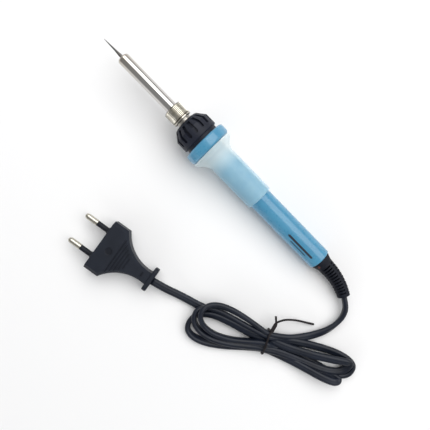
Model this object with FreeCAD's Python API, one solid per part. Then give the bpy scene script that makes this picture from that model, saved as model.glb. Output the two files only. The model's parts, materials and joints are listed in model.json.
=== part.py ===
"""Mains soldering iron lying on a bench, with its flat twin cord tied in a hank and a flat two-pin plug.

Millimetres, +Z up, bench at z = 0, +X along the iron from its tip towards its cord.
The iron's own pieces are drawn on a level axis: s runs along it from the point of the tip, r out from it.
lay_down() then tips them onto the flange and the rear end, which is how the iron rests.
"""
import FreeCAD
import Part
import math
import os

V = FreeCAD.Vector
X_AXIS = V(1, 0, 0)
Z_AXIS = V(0, 0, 1)

# ---- iron, distances s from the point of the tip, and radii --------------------------------------
TIP_CONE = 15.0          # bare cone in front of the barrel
TIP_ROOT_R = 1.15
TIP_NECK_R = 2.15
TIP_SHANK_R = 3.2
TIP_BORE_R = 2.1
TIP_REAR = 43.0
BARREL_FRONT = 15.5
BARREL_R = 3.95
BARREL_SEAT_R = 3.7      # inside the nut
BARREL_SEAT_S = 58.8
BARREL_BORE_R = 3.35
BARREL_MOUTH_R = 2.3
BARREL_REAR = 65.6
BARREL_COLLAR_R = 4.9
NUT_FRONT = 59.0
NUT_REAR = 68.9
NUT_R = 6.6
NUT_THREAD_R = 5.25
BUSH_FRONT = 65.8
BUSH_R = 5.1
BUSH_FLANGE_S = 77.7
BUSH_FLANGE_R = 9.4
BUSH_BORE_R = 2.6
CAP_FRONT = 70.8
CAP_SHOULDER = 76.8
CAP_REAR = 86.8
CAP_R = 12.86
CAP_FLUTES = 16
WASHER_S = 79.3
SPIGOT_S = 80.3
SPIGOT_R = 9.6
FLANGE_S = 86.9
FLANGE_REAR = 94.1
FLANGE_R = 15.2
FLANGE_ROUND = 2.0
TUBE_R = 7.6
TUBE_BORE_R = 5.9
TUBE_REAR = 193.2
TUBE_ROUND = 0.6
SLEEVE_R = 9.1
SLEEVE_REAR = 137.7
HEATER_R = 1.9
HEATER_FRONT = 22.0
HEATER_REAR = 94.0
NUT_PITCH = 1.0
CAP_PITCH = 1.5
THREAD_DEPTH = 0.45
HOLDER_R = 6.2
BOARD_FRONT = 106.0
BOARD_REAR = 158.0
BOARD_WIDTH = 10.2
BOARD_Z = -1.6           # underside of the board, below the axis
BOARD_THICK = 1.0
CORE_SPREAD = 2.6        # half the distance between the two conductors on the board
CORE_Z = -0.4
CORD_START = 174.0       # where the cord's jacket is stripped, inside the handle

# ---- strain relief: straight for a while, then an arc to the iron's right ------------------------
RELIEF_STRAIGHT = 7.5
RELIEF_BEND_R = 45.0
RELIEF_BEND_DEG = 28.5
RELIEF_BORE_R = 3.0
RELIEF_SPIGOT_S = 184.0
SLOT_FIRST = 6.4
SLOT_PITCH = 2.05
SLOT_WIDTH = 1.0
SLOT_LEVELS = 11
SPINE_ANGLES = (28, 118, 208, 298)
SPINE_WIDTH = 1.7
COLLAR_LENGTH = 4.8
LENS_S = 195.6
LENS_ANGLE = 42.0
LENS_R = 1.0

# ---- cord, hank and plug, on the bench --------------------------------------------------------
CORD_WIDTH = 5.2
CORD_THICK = 3.3
CORD_TUBE_R = 2.1        # plain round tube of about the flat cord's section area
CORD_LEAD_POINTS = (
    (110.0, -5.5, 5.33), (115.6, -8.6, 4.85), (119.2, -14.0, 3.9), (120.5, -20.4, 2.9), (119.3, -28.3, 2.3),
    (115.6, -36.5, 2.2), (110.2, -44.3, 2.9), (103.6, -51.1, 4.6), (96.6, -56.8, 6.4),
)
CORD_TAIL_POINTS = (
    (49.0, -76.9, 2.3), (40.6, -79.4, 2.2), (32.2, -82.0, 2.9), (23.4, -84.6, 5.4), (15.3, -86.2, 6.85),
)
HANK_TIE = V(95.6, -61.35, 0)
HANK_ANGLE = 30.0
HANK_HEIGHT = 9.4
TIE_WIRE_R = 0.55
PLUG_NOSE = V(-25.1, -93.1, 0)
PLUG_ANGLE = 9.64
PLUG_WIDTH = 35.3
PLUG_THICK = 13.7
PLUG_STRAIGHT = 10.6
PLUG_NECK = 37.9
PLUG_NECK_HALF = 4.3
PLUG_NECK_THICK = 9.2
PLUG_SLOPE_START = 11.5  # the body gets thinner from here to the neck
COLLAR_THICK = 3.0
COLLAR_WIDTH = 16.9
PIN_SPACING = 19.0
PIN_R = 2.0
PIN_LENGTH = 19.0
PIN_BARE = 9.5
RIB_FIRST = 13.1
RIB_PITCH = 2.05
RIBS = 5

TIP_X = -111.6           # the point of the tip, which centres the iron on x = 0

# The iron lies on the rear edge of its flange and the rear end of its tube, which sets its tilt.
FLANGE_CONTACT = FLANGE_REAR - FLANGE_ROUND
TUBE_CONTACT = TUBE_REAR - TUBE_ROUND
CONTACT_RUN = TUBE_CONTACT - FLANGE_CONTACT
CONTACT_RISE = (FLANGE_R - FLANGE_ROUND) - (TUBE_R - TUBE_ROUND)
TILT_RADIANS = (math.atan2(CONTACT_RISE, CONTACT_RUN)
                + math.asin((FLANGE_ROUND - TUBE_ROUND) / math.hypot(CONTACT_RISE, CONTACT_RUN)))
TILT = math.degrees(TILT_RADIANS)
TIP_Z = ((FLANGE_R - FLANGE_ROUND) * math.cos(TILT_RADIANS) + FLANGE_CONTACT * math.sin(TILT_RADIANS)
         + FLANGE_ROUND)


def write(name, shape):
    """Checks a sub-part and writes it to parts/NAME.step."""
    if not shape.isValid():
        raise ValueError(name + " is not a valid shape")
    shape.exportStep(os.path.join("parts", name + ".step"))


def lay_down(shape):
    """The iron's level axis, tipped and set at its place on the bench."""
    placed = shape.copy()
    placed.rotate(V(), V(0, 1, 0), TILT)
    placed.translate(V(TIP_X, 0, TIP_Z))
    return placed


def profile(points):
    """Closed wire in the XZ plane. (s, r) is reached by a line, (s, r, mid_s, mid_r) by an arc."""
    edges = []
    here = V(points[-1][0], 0, points[-1][1])
    for point in points:
        there = V(point[0], 0, point[1])
        if len(point) == 4:
            edges.append(Part.Arc(here, V(point[2], 0, point[3]), there).toShape())
        else:
            edges.append(Part.LineSegment(here, there).toShape())
        here = there
    return Part.Wire(edges)


def turned(points):
    """Solid of revolution about the iron's axis."""
    return Part.Face(profile(points)).revolve(V(), X_AXIS, 360)


def rod(start, end, radius):
    """Round bar between two points."""
    along = end - start
    return Part.makeCylinder(radius, along.Length, start, along)


def spun(shape, degrees):
    """A copy turned about the iron's axis."""
    copy = shape.copy()
    copy.rotate(V(), X_AXIS, degrees)
    return copy


def fused(shapes):
    """One shape from several that overlap."""
    return shapes[0].fuse(shapes[1:]).removeSplitter()


def lengthwise(box):
    """A box's four edges along X."""
    return [edge for edge in box.Edges if abs(edge.tangentAt(0).x) > 0.9]


def wire_path(points, share=0.45):
    """Straight runs joined by tangent arcs, each as large as its runs allow, and the arcs' radii."""
    edges = []
    radii = []
    start = points[0]
    for before, point, after in zip(points, points[1:], points[2:]):
        back = (before - point)
        ahead = (after - point)
        reach = share * min(back.Length, ahead.Length)
        back.normalize()
        ahead.normalize()
        turn = math.pi - back.getAngle(ahead)
        radius = reach / math.tan(turn / 2)
        middle = back + ahead
        middle.normalize()
        nearest = point + middle * (radius / math.cos(turn / 2) - radius)
        arc_start = point + back * reach
        arc_end = point + ahead * reach
        edges.append(Part.LineSegment(start, arc_start).toShape())
        edges.append(Part.Arc(arc_start, nearest, arc_end).toShape())
        radii.append(radius)
        start = arc_end
    edges.append(Part.LineSegment(start, points[-1]).toShape())
    return Part.Wire(edges), radii


def tube_along(points, radius, label=None):
    """Round tube along a route. With a label, it prints the arcs' radii and the share of the full volume."""
    path, radii = wire_path(points)
    section = Part.Wire(Part.makeCircle(radius, points[0], points[1] - points[0]))
    solid = path.makePipeShell([section], True, False)
    if label:
        share = solid.Volume / (math.pi * radius ** 2 * path.Length)
        print(label, "arc radii", [round(r, 1) for r in radii])
        print(label, "length", round(path.Length, 1), "volume share", round(share, 3))
    return solid


# ---- front end ----------------------------------------------------------------------------------
def soldering_tip():
    return turned([
        (0, 0),
        (0.18, 0.2, 0.05, 0.14),
        (TIP_CONE * 0.35, 0.42),
        (TIP_CONE * 0.7, 0.72),
        (TIP_CONE, TIP_ROOT_R),
        (TIP_CONE + 0.7, TIP_NECK_R),
        (17.3, TIP_NECK_R),
        (17.3, TIP_SHANK_R - 0.2),
        (17.5, TIP_SHANK_R),
        (TIP_REAR, TIP_SHANK_R),
        (TIP_REAR, TIP_BORE_R),
        (20.5, TIP_BORE_R),
        (19.3, 0),
    ])


def barrel_tube():
    nose = 1.5
    nose_centre = (BARREL_FRONT + nose, BARREL_R - nose)
    bevel = nose * math.sin(math.radians(45))
    return turned([
        (BARREL_FRONT, BARREL_MOUTH_R),
        (BARREL_FRONT, nose_centre[1]),
        (nose_centre[0], BARREL_R, nose_centre[0] - bevel, nose_centre[1] + bevel),
        (BARREL_SEAT_S, BARREL_R),
        (BARREL_SEAT_S, BARREL_SEAT_R),
        (BARREL_REAR - 1.4, BARREL_SEAT_R),
        (BARREL_REAR - 1.4, BARREL_COLLAR_R),
        (BARREL_REAR, BARREL_COLLAR_R),
        (BARREL_REAR, BARREL_BORE_R),
        (17.1, BARREL_BORE_R),
        (17.1, BARREL_MOUTH_R),
    ])


def barrel_nut():
    """Union nut with a straight knurl, a plain ring behind it, and room for the barrel's collar."""
    knurl_teeth = 44
    knurl_depth = 0.42
    knurl_front = NUT_FRONT + 0.7
    knurl_rear = NUT_REAR - 1.8
    body = turned([
        (NUT_FRONT, 4.1),
        (NUT_FRONT, NUT_R - 0.9),
        (knurl_front, NUT_R),
        (knurl_rear, NUT_R),
        (knurl_rear + 0.25, NUT_R - 0.6),
        (knurl_rear + 0.6, NUT_R - 0.6),
        (knurl_rear + 0.8, NUT_R - 0.15),
        (NUT_REAR - 0.25, NUT_R - 0.15),
        (NUT_REAR, NUT_R - 0.4),
        (NUT_REAR, NUT_THREAD_R),
        (63.9, NUT_THREAD_R),
        (63.9, 4.1),
    ])
    half = math.pi * NUT_R / knurl_teeth * 0.8
    groove = Part.Face(Part.makePolygon([
        V(NUT_FRONT - 0.1, -half, NUT_R + 0.1),
        V(NUT_FRONT - 0.1, half, NUT_R + 0.1),
        V(NUT_FRONT - 0.1, 0, NUT_R - knurl_depth),
        V(NUT_FRONT - 0.1, -half, NUT_R + 0.1),
    ])).extrude(V(knurl_rear - NUT_FRONT + 0.2, 0, 0))
    grooves = [spun(groove, 360 * k / knurl_teeth) for k in range(knurl_teeth)]
    return body.cut(Part.makeCompound(grooves))


def thread_rings(s_from, s_to, crest, root, pitch):
    """Profile points of a thread's ridges, drawn as plain rings."""
    points = []
    for k in range(int((s_to - s_from) / pitch)):
        s = s_from + k * pitch
        points += [(s + 0.1 * pitch, root), (s + 0.35 * pitch, crest)]
        points += [(s + 0.65 * pitch, crest), (s + 0.9 * pitch, root)]
    return points


def nose_bush():
    """Flanged bush: its front carries the nut's thread, and the cap clamps its flange."""
    flange_rear = BUSH_FLANGE_S + 1.5
    return turned(
        [(BUSH_FRONT, BUSH_BORE_R), (BUSH_FRONT, BUSH_R - THREAD_DEPTH)]
        + thread_rings(BUSH_FRONT, CAP_FRONT, BUSH_R, BUSH_R - THREAD_DEPTH, NUT_PITCH)
        + [
            (CAP_FRONT + 0.1, BUSH_R - THREAD_DEPTH),
            (CAP_FRONT + 0.3, BUSH_R),
            (BUSH_FLANGE_S, BUSH_R),
            (BUSH_FLANGE_S, BUSH_FLANGE_R),
            (flange_rear, BUSH_FLANGE_R),
            (flange_rear, BUSH_BORE_R),
        ]
    )


def nose_washer():
    return turned([(WASHER_S, 2.8), (WASHER_S, 9.3), (WASHER_S + 0.8, 9.3), (WASHER_S + 0.8, 2.8)])


def locking_cap():
    """Fluted plastic cap: domed front, long bevel, straight skirt with a step at its rear."""
    bore = BUSH_R + 0.15
    cavity = SPIGOT_R + 0.15
    skirt_step = CAP_REAR - 2.2
    body = turned([
        (CAP_FRONT, bore),
        (CAP_FRONT + 0.8, 8.8, CAP_FRONT + 0.25, 7.2),
        (CAP_SHOULDER, CAP_R),
        (skirt_step - 0.4, CAP_R),
        (skirt_step, CAP_R - 0.4),
        (skirt_step, 11.6),
        (CAP_REAR, 11.6),
        (CAP_REAR, cavity),
        (77.5, cavity),
        (77.5, bore),
    ])
    width = 2.0
    bevel_depth = 1.3
    floor = CAP_R - 1.6
    rear = CAP_FRONT + 10.7
    deep_bevel = 8.8 + (CAP_R - 8.8) * 0.25 - bevel_depth
    flute = Part.Face(Part.makePolygon([
        V(CAP_FRONT + 1.2, -width / 2, 14),
        V(CAP_FRONT + 1.2, -width / 2, deep_bevel + 1.6),
        V(CAP_FRONT + 2.6, -width / 2, deep_bevel),
        V(CAP_SHOULDER + 0.7, -width / 2, floor),
        V(rear, -width / 2, floor),
        V(rear, -width / 2, 14),
        V(CAP_FRONT + 1.2, -width / 2, 14),
    ])).extrude(V(0, width, 0))
    track = Part.makeBox(rear - width / 2 - CAP_FRONT, width, 8, V(CAP_FRONT, -width / 2, 6))
    track = track.fuse(Part.makeCylinder(width / 2, 8, V(rear - width / 2, 0, 6), Z_AXIS))
    flute = flute.common(track)
    return body.cut(Part.makeCompound([spun(flute, 360 * k / CAP_FLUTES) for k in range(CAP_FLUTES)]))


# ---- handle -------------------------------------------------------------------------------------
def handle_shell():
    front_round = 1.5
    rounding = 0.7071
    return turned(
        [(SPIGOT_S, 6.3), (SPIGOT_S, SPIGOT_R - THREAD_DEPTH)]
        + thread_rings(SPIGOT_S, FLANGE_S - 0.5, SPIGOT_R, SPIGOT_R - THREAD_DEPTH, CAP_PITCH)
        + [
            (FLANGE_S, SPIGOT_R - THREAD_DEPTH),
            (FLANGE_S, FLANGE_R - front_round),
            (FLANGE_S + front_round, FLANGE_R,
             FLANGE_S + front_round * (1 - rounding), FLANGE_R - front_round * (1 - rounding)),
            (FLANGE_CONTACT, FLANGE_R),
            (FLANGE_REAR, FLANGE_R - FLANGE_ROUND,
             FLANGE_REAR - FLANGE_ROUND * (1 - rounding), FLANGE_R - FLANGE_ROUND * (1 - rounding)),
            (FLANGE_REAR, TUBE_R),
            (TUBE_CONTACT, TUBE_R),
            (TUBE_REAR, TUBE_R - TUBE_ROUND,
             TUBE_REAR - TUBE_ROUND * (1 - rounding), TUBE_R - TUBE_ROUND * (1 - rounding)),
            (TUBE_REAR, TUBE_BORE_R),
            (FLANGE_REAR, TUBE_BORE_R),
            (FLANGE_REAR, 6.3),
        ]
    )


def grip_sleeve():
    """Silicone sleeve: a thick rim behind the flange, a concave flare, then a plain grip."""
    bore = TUBE_R + 0.05
    rim = FLANGE_REAR + 0.1
    return turned([
        (rim, bore),
        (rim, 14.7),
        (rim + 1.4, 14.5, rim + 0.8, 14.9),
        (rim + 4.4, 11.9, rim + 3.2, 13.3),
        (rim + 12.0, SLEEVE_R, rim + 7.4, 9.7),
        (SLEEVE_REAR - 0.7, SLEEVE_R),
        (SLEEVE_REAR, SLEEVE_R - 0.7, SLEEVE_REAR - 0.2, SLEEVE_R - 0.2),
        (SLEEVE_REAR, bore),
    ])


def heater_rod():
    return turned([
        (HEATER_FRONT, 0), (HEATER_FRONT, HEATER_R - 0.5), (HEATER_FRONT + 0.5, HEATER_R),
        (HEATER_REAR, HEATER_R), (HEATER_REAR, 0),
    ])


def heater_holder():
    return turned([
        (SPIGOT_S + 0.2, 2.0), (SPIGOT_S + 0.2, HOLDER_R - 0.6), (SPIGOT_S + 0.8, HOLDER_R), (93.9, HOLDER_R),
        (93.9, 5.0), (99.0, 5.0), (99.0, 3.0), (94.2, 3.0), (94.2, 2.0),
    ])


def heater_leads():
    """Two insulated leads, from the rod's rear end up onto the board."""
    leads = []
    for side in (-1, 1):
        route = [
            V(94.05, side * 0.9, 0), V(98.5, side * 1.4, 0.3), V(103.5, side * 2.2, 0.4),
            V(109.0, side * CORE_SPREAD, BOARD_Z + 1.85),
        ]
        leads.append(tube_along(route, 0.6))
    return Part.makeCompound(leads)


def control_board():
    corner = V(BOARD_FRONT, -BOARD_WIDTH / 2, BOARD_Z)
    return Part.makeBox(BOARD_REAR - BOARD_FRONT, BOARD_WIDTH, BOARD_THICK, corner)


def board_triac():
    """Three-legged power switch, standing on its legs."""
    top = BOARD_Z + BOARD_THICK
    body = Part.makeBox(6.5, 5.0, 2.4, V(122, -2.5, top + 0.8))
    legs = [Part.makeBox(0.5, 0.6, 1.2, V(123 + 2 * k, -0.3, top)) for k in range(3)]
    return fused([body] + legs)


def board_capacitor():
    box = Part.makeBox(10.0, 4.2, 3.4, V(134, -2.1, BOARD_Z + BOARD_THICK + 0.05))
    return box.makeFillet(0.4, box.Edges)


def board_resistors():
    """Two axial resistors side by side, with bent legs."""
    top = BOARD_Z + BOARD_THICK
    level = top + 1.3
    wire_r = 0.25
    parts = []
    for side in (-1, 1):
        y = side * CORE_SPREAD
        body = rod(V(113.0, y, level), V(118.0, y, level), 0.95)
        legs = [rod(V(s, y, top), V(s, y, level + wire_r), wire_r) for s in (111.8, 119.2)]
        wire = rod(V(111.8, y, level), V(119.2, y, level), wire_r)
        parts.append(fused([body, wire] + legs))
    return Part.makeCompound(parts)


def mains_crimps():
    """Two crimped ferrules, which join the cord's cores to the board."""
    crimps = []
    for side in (-1, 1):
        y = side * CORE_SPREAD
        outer = rod(V(160.2, y, CORE_Z), V(165.2, y, CORE_Z), 1.2)
        crimps.append(outer.cut(rod(V(160.1, y, CORE_Z), V(165.3, y, CORE_Z), 0.75)))
    return Part.makeCompound(crimps)


def cord_cores():
    """The cord's two cores, from its stripped end through the crimps to the board's rear edge."""
    cores = []
    for side in (-1, 1):
        y = side * CORE_SPREAD
        route = [
            V(CORD_START - 0.05, 0, side * 1.1), V(171.8, 0, side * 1.1),
            V(169.2, side * 1.9, side * 0.2 - 0.2), V(166.8, y, CORE_Z), V(BOARD_REAR + 0.1, y, CORE_Z),
        ]
        cores.append(tube_along(route, 0.7))
    return Part.makeCompound(cores)


def cord_clamp():
    """Crimped clamp round the cord, behind the boot's spigot."""
    width = CORD_THICK + 2.0
    height = CORD_WIDTH + 2.0
    block = Part.makeBox(4.0, width, height, V(177.5, -width / 2, -height / 2))
    block = block.makeFillet(1.2, lengthwise(block))
    return block.cut(flat_section(177.0, 0.05).extrude(V(5, 0, 0)))


# ---- strain relief ------------------------------------------------------------------------------
def relief_frame(length):
    """Point and direction on the boot's centreline, a length beyond the handle's rear end."""
    if length <= RELIEF_STRAIGHT:
        return V(TUBE_REAR + length, 0, 0), V(1, 0, 0)
    turn = (length - RELIEF_STRAIGHT) / RELIEF_BEND_R
    forward = TUBE_REAR + RELIEF_STRAIGHT + RELIEF_BEND_R * math.sin(turn)
    aside = RELIEF_BEND_R * (1 - math.cos(turn))
    return V(forward, -aside, 0), V(math.cos(turn), -math.sin(turn), 0)


RELIEF_LENGTH = RELIEF_STRAIGHT + RELIEF_BEND_R * math.radians(RELIEF_BEND_DEG)


def relief_spine(start_s, end_length):
    """Centreline from s in the handle to a length beyond its rear end."""
    straight_end = V(TUBE_REAR + RELIEF_STRAIGHT, 0, 0)
    middle = relief_frame((RELIEF_STRAIGHT + end_length) / 2)[0]
    end = relief_frame(end_length)[0]
    straight = Part.LineSegment(V(start_s, 0, 0), straight_end)
    return Part.Wire([straight.toShape(), Part.Arc(straight_end, middle, end).toShape()])


def relief_circle(length, radius):
    point, direction = relief_frame(length)
    return Part.Wire(Part.makeCircle(radius, point, direction))


def relief_radius(length):
    """Outer radius of the ribbed part, which narrows towards the cord."""
    return 5.45 - 1.25 * (length - COLLAR_LENGTH) / (RELIEF_LENGTH - COLLAR_LENGTH)


def strain_relief():
    """Rubber boot: spigot, lip, tapered collar, and a ribbed sleeve with slots between four spines."""
    spigot_r = TUBE_BORE_R - 0.1
    lip_s = TUBE_REAR + 0.02
    head = turned([
        (RELIEF_SPIGOT_S, 0), (RELIEF_SPIGOT_S, spigot_r - 0.4), (RELIEF_SPIGOT_S + 0.5, spigot_r),
        (lip_s, spigot_r), (lip_s, 6.75), (TUBE_REAR + 0.9, 6.75), (TUBE_REAR + COLLAR_LENGTH, 5.45),
        (TUBE_REAR + COLLAR_LENGTH + 0.8, 5.4), (TUBE_REAR + COLLAR_LENGTH + 0.8, 0),
    ])
    straight = Part.makeCone(relief_radius(COLLAR_LENGTH), relief_radius(RELIEF_STRAIGHT),
                             RELIEF_STRAIGHT - COLLAR_LENGTH, V(TUBE_REAR + COLLAR_LENGTH, 0, 0), X_AXIS)
    end_round = 0.8
    bend_run = RELIEF_LENGTH - end_round - RELIEF_STRAIGHT
    lengths = [RELIEF_STRAIGHT + bend_run * k / 6 for k in range(7)]
    bend = Part.makeLoft([relief_circle(length, relief_radius(length)) for length in lengths], True, False)
    cap = Part.makeLoft([
        relief_circle(RELIEF_LENGTH - end_round, relief_radius(RELIEF_LENGTH)),
        relief_circle(RELIEF_LENGTH - end_round * 0.4, relief_radius(RELIEF_LENGTH) - 0.12),
        relief_circle(RELIEF_LENGTH, relief_radius(RELIEF_LENGTH) - 0.7),
    ], True, True)
    bore_start = RELIEF_SPIGOT_S - 1
    bore_circle = Part.Wire(Part.makeCircle(RELIEF_BORE_R, V(bore_start, 0, 0), X_AXIS))
    bore = relief_spine(bore_start, RELIEF_LENGTH).makePipeShell([bore_circle], True, False)
    last_point, last_way = relief_frame(RELIEF_LENGTH)
    bore = bore.fuse(Part.makeCylinder(RELIEF_BORE_R, 2, last_point - last_way * 0.5, last_way))
    boot = head.fuse([straight, bend, cap]).cut(bore)
    boot = boot.cut(Part.makeCompound([slot_cutter(k) for k in range(SLOT_LEVELS)]))
    return boot.cut(lens_hole())


def slot_cutter(level):
    """Thin disc across the boot, less its four spines."""
    point, direction = relief_frame(SLOT_FIRST + level * SLOT_PITCH)
    disc = Part.makeCylinder(8, SLOT_WIDTH, V(-SLOT_WIDTH / 2, 0, 0), X_AXIS)
    spine = Part.makeBox(SLOT_WIDTH * 2, SPINE_WIDTH, 9, V(-SLOT_WIDTH, -SPINE_WIDTH / 2, 0))
    cutter = disc.cut([spun(spine, -angle) for angle in SPINE_ANGLES])
    cutter.rotate(V(), Z_AXIS, math.degrees(math.atan2(direction.y, direction.x)))
    cutter.translate(point)
    return cutter


def lens_pose(shape):
    """Turns a piece that stands on +Z at the lens's place to the lens's side of the collar."""
    return spun(shape, LENS_ANGLE)


def lens_hole():
    return lens_pose(Part.makeCylinder(LENS_R + 0.05, 4.5, V(LENS_S, 0, 3.2), Z_AXIS))


def indicator_lens():
    lens = Part.makeCylinder(LENS_R, 1.9, V(LENS_S, 0, 4.6), Z_AXIS)
    top = [edge for edge in lens.Edges if len(edge.Vertexes) == 1 and edge.Vertexes[0].Z > 6.4]
    return lens_pose(lens.makeFillet(0.35, top))


def indicator_led():
    return lens_pose(Part.makeCylinder(LENS_R - 0.1, 1.3, V(LENS_S, 0, 3.25), Z_AXIS))


def flat_section(s, margin=0.0):
    """The flat cord's face across the iron's axis: its wide side stands upright."""
    radius = CORD_THICK / 2 + margin
    reach = (CORD_WIDTH - CORD_THICK) / 2
    bottom = Part.Arc(V(s, -radius, -reach), V(s, 0, -reach - radius), V(s, radius, -reach)).toShape()
    top = Part.Arc(V(s, radius, reach), V(s, 0, reach + radius), V(s, -radius, reach)).toShape()
    left = Part.LineSegment(V(s, -radius, reach), V(s, -radius, -reach)).toShape()
    right = Part.LineSegment(V(s, radius, -reach), V(s, radius, reach)).toShape()
    return Part.Face(Part.Wire([bottom, right, top, left]))


def cord_entry():
    """The flat cord through the boot, from its stripped end inside the handle to the boot's mouth."""
    path = relief_spine(CORD_START, RELIEF_LENGTH)
    return path.makePipeShell([flat_section(CORD_START).OuterWire], True, False)


# ---- hank and its tie -----------------------------------------------------------------------------
def hank_point(along, across, z=0.0):
    """A place on the hank: along it from the tie towards its right loops, and across it towards the iron."""
    angle = math.radians(HANK_ANGLE)
    ahead = V(math.cos(angle), math.sin(angle), 0)
    aside = V(-math.sin(angle), math.cos(angle), 0)
    return HANK_TIE + ahead * along + aside * across + V(0, 0, z)


def smooth_face(points):
    """Face inside a smooth closed outline."""
    curve = Part.BSplineCurve()
    curve.interpolate([hank_point(*p) for p in points], True)
    return Part.Face(Part.Wire(curve.toShape()))


def cord_hank():
    """Closed solid of the hank's outer shape: two lobes and the narrow waist that the tie goes round."""
    left_lobe = [
        (-3, 0), (-4.5, 7.2), (-20, 12.8), (-35, 16.0), (-46, 12.6), (-52, 5.4), (-55, -3.5), (-52, -9.8),
        (-43, -13.4), (-30, -13.0), (-16, -10.6), (-4.5, -8.2),
    ]
    right_lobe = [
        (3, -2), (4, 3.4), (12, 4.8), (22, 6.8), (34, 8.2), (48, 5.8), (58, 3.0), (60.4, -2), (59, -8),
        (53, -12.6), (46, -15.4), (34, -13.4), (18, -10.2), (4.5, -8.2),
    ]
    eye = [(-44.6, 3.4), (-36, 5.4), (-24, 2.0), (-13, -1.8), (-20, -3.3), (-30, -4.0), (-40, -1.4)]
    up = V(0, 0, HANK_HEIGHT)
    left = smooth_face(left_lobe).extrude(up).cut(smooth_face(eye).extrude(up))
    right = smooth_face(right_lobe).extrude(up)
    waist = Part.makeBox(9.0, 13.4, HANK_HEIGHT - 3.0, V(-4.5, -7.5, 1.5))
    waist = waist.makeFillet(2.4, lengthwise(waist))
    waist.rotate(V(), Z_AXIS, HANK_ANGLE)
    waist.translate(HANK_TIE)
    return left.fuse([right, waist])


def twist_tie():
    """Wire round the hank's waist, its two ends twisted together and left long and short."""
    left = -8.1
    right = 6.5
    low = TIE_WIRE_R
    high = HANK_HEIGHT - low
    corners = [
        (left, 3.4), (left + 2, low), (right - 2, low), (right, 3.4), (right, high - 2.4), (right - 2, high),
        (left + 2, high), (left, high - 2.4), (left, 3.5),
    ]
    ring = tube_along([hank_point(0, across, z) for across, z in corners], TIE_WIRE_R)
    twist_end = V(91.4, -49.8, 7.0)
    stem = tube_along([hank_point(0.2, right - 0.6, 7.4), V(92.6, -53.0, 8.0), twist_end], TIE_WIRE_R)
    long_end = tube_along([
        twist_end, V(92.2, -47.2, 6.6), V(95.6, -43.2, 5.6), V(101.2, -38.2, 4.0), V(110.4, -32.1, 1.2),
    ], TIE_WIRE_R)
    short_end = rod(twist_end, V(88.9, -47.0, 7.4), TIE_WIRE_R)
    return ring.fuse([stem, long_end, short_end])


# ---- plug -----------------------------------------------------------------------------------------
def plug_place(shape):
    """From the plug's own frame, with its nose at 0 and +X towards the cord, to its place on the bench."""
    placed = shape.copy()
    placed.rotate(V(), Z_AXIS, PLUG_ANGLE)
    placed.translate(PLUG_NOSE + V(0, 0, PLUG_THICK / 2))
    return placed


def plug_outline():
    """Plug seen from above: straight flanks, then a concave flare to the neck."""
    half = PLUG_WIDTH / 2
    points = [V(0, -half, 0), V(PLUG_STRAIGHT, -half, 0), V(18.5, -9.2, 0), V(PLUG_NECK, -PLUG_NECK_HALF, 0)]
    mirror = [V(p.x, -p.y, 0) for p in points]
    return Part.Wire([
        Part.LineSegment(mirror[0], points[0]).toShape(),
        Part.LineSegment(points[0], points[1]).toShape(),
        Part.Arc(points[1], points[2], points[3]).toShape(),
        Part.LineSegment(points[3], mirror[3]).toShape(),
        Part.Arc(mirror[3], mirror[2], mirror[1]).toShape(),
        Part.LineSegment(mirror[1], mirror[0]).toShape(),
    ])


def plug_body():
    """Moulded body: bevelled, thinner towards the neck, with grip ribs, a cord window and an end collar."""
    half_thick = PLUG_THICK / 2
    body = Part.Face(plug_outline()).extrude(V(0, 0, PLUG_THICK))
    body.translate(V(0, 0, -half_thick))
    rims = [edge for edge in body.Edges if abs(abs(edge.CenterOfMass.z) - half_thick) < 0.01
            and 0.1 < edge.CenterOfMass.x < PLUG_NECK - 0.1]
    body = body.makeChamfer(2.2, rims)
    side_view = Part.Face(Part.makePolygon([
        V(-1, 0, -half_thick - 1), V(-1, 0, half_thick + 1), V(PLUG_SLOPE_START, 0, half_thick + 1),
        V(PLUG_SLOPE_START, 0, half_thick), V(PLUG_NECK + 1, 0, PLUG_NECK_THICK / 2),
        V(PLUG_NECK + 1, 0, -PLUG_NECK_THICK / 2), V(PLUG_SLOPE_START, 0, -half_thick),
        V(PLUG_SLOPE_START, 0, -half_thick - 1), V(-1, 0, -half_thick - 1),
    ])).extrude(V(0, PLUG_WIDTH + 4, 0))
    side_view.translate(V(0, -PLUG_WIDTH / 2 - 2, 0))
    body = body.common(side_view)
    body = body.cut(Part.makeCompound(rib_grooves()))
    window = Part.makeBox(1.3, 3.2, 14, V(32.3, -1.6, -7))
    window = window.cut(Part.makeBox(3, 4, 8.4, V(31.5, -2, -4.2)))
    body = body.cut(window).fuse(plug_collar())
    return plug_place(body.cut(plug_inserts()))


def plug_collar():
    """Rounded plate at the plug's rear, which keeps fingers off the cord."""
    collar = Part.makeBox(COLLAR_THICK, COLLAR_WIDTH, 9.6, V(PLUG_NECK, -COLLAR_WIDTH / 2, -4.8))
    collar = collar.makeFillet(3.0, lengthwise(collar))
    middle = PLUG_NECK + COLLAR_THICK / 2
    rims = [edge for edge in collar.Edges if abs(edge.CenterOfMass.x - middle) > COLLAR_THICK / 2 - 0.01]
    return collar.makeFillet(0.7, rims)


def rib_grooves():
    """Cross grooves above and below, which leave the grip ribs between them."""
    grooves = []
    depth = 0.85
    slope = (PLUG_THICK - PLUG_NECK_THICK) / 2 / (PLUG_NECK + 1 - PLUG_SLOPE_START)
    for k in range(RIBS):
        x = RIB_FIRST + k * RIB_PITCH
        surface = PLUG_THICK / 2 - slope * (x - PLUG_SLOPE_START)
        reach = 12.6 - 2.2 * k
        for side in (-1, 1):
            low = surface - depth if side > 0 else -surface - 2
            grooves.append(Part.makeBox(1.1, 2 * reach, depth + 2, V(x - 0.55, -reach, low)))
    return grooves


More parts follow.
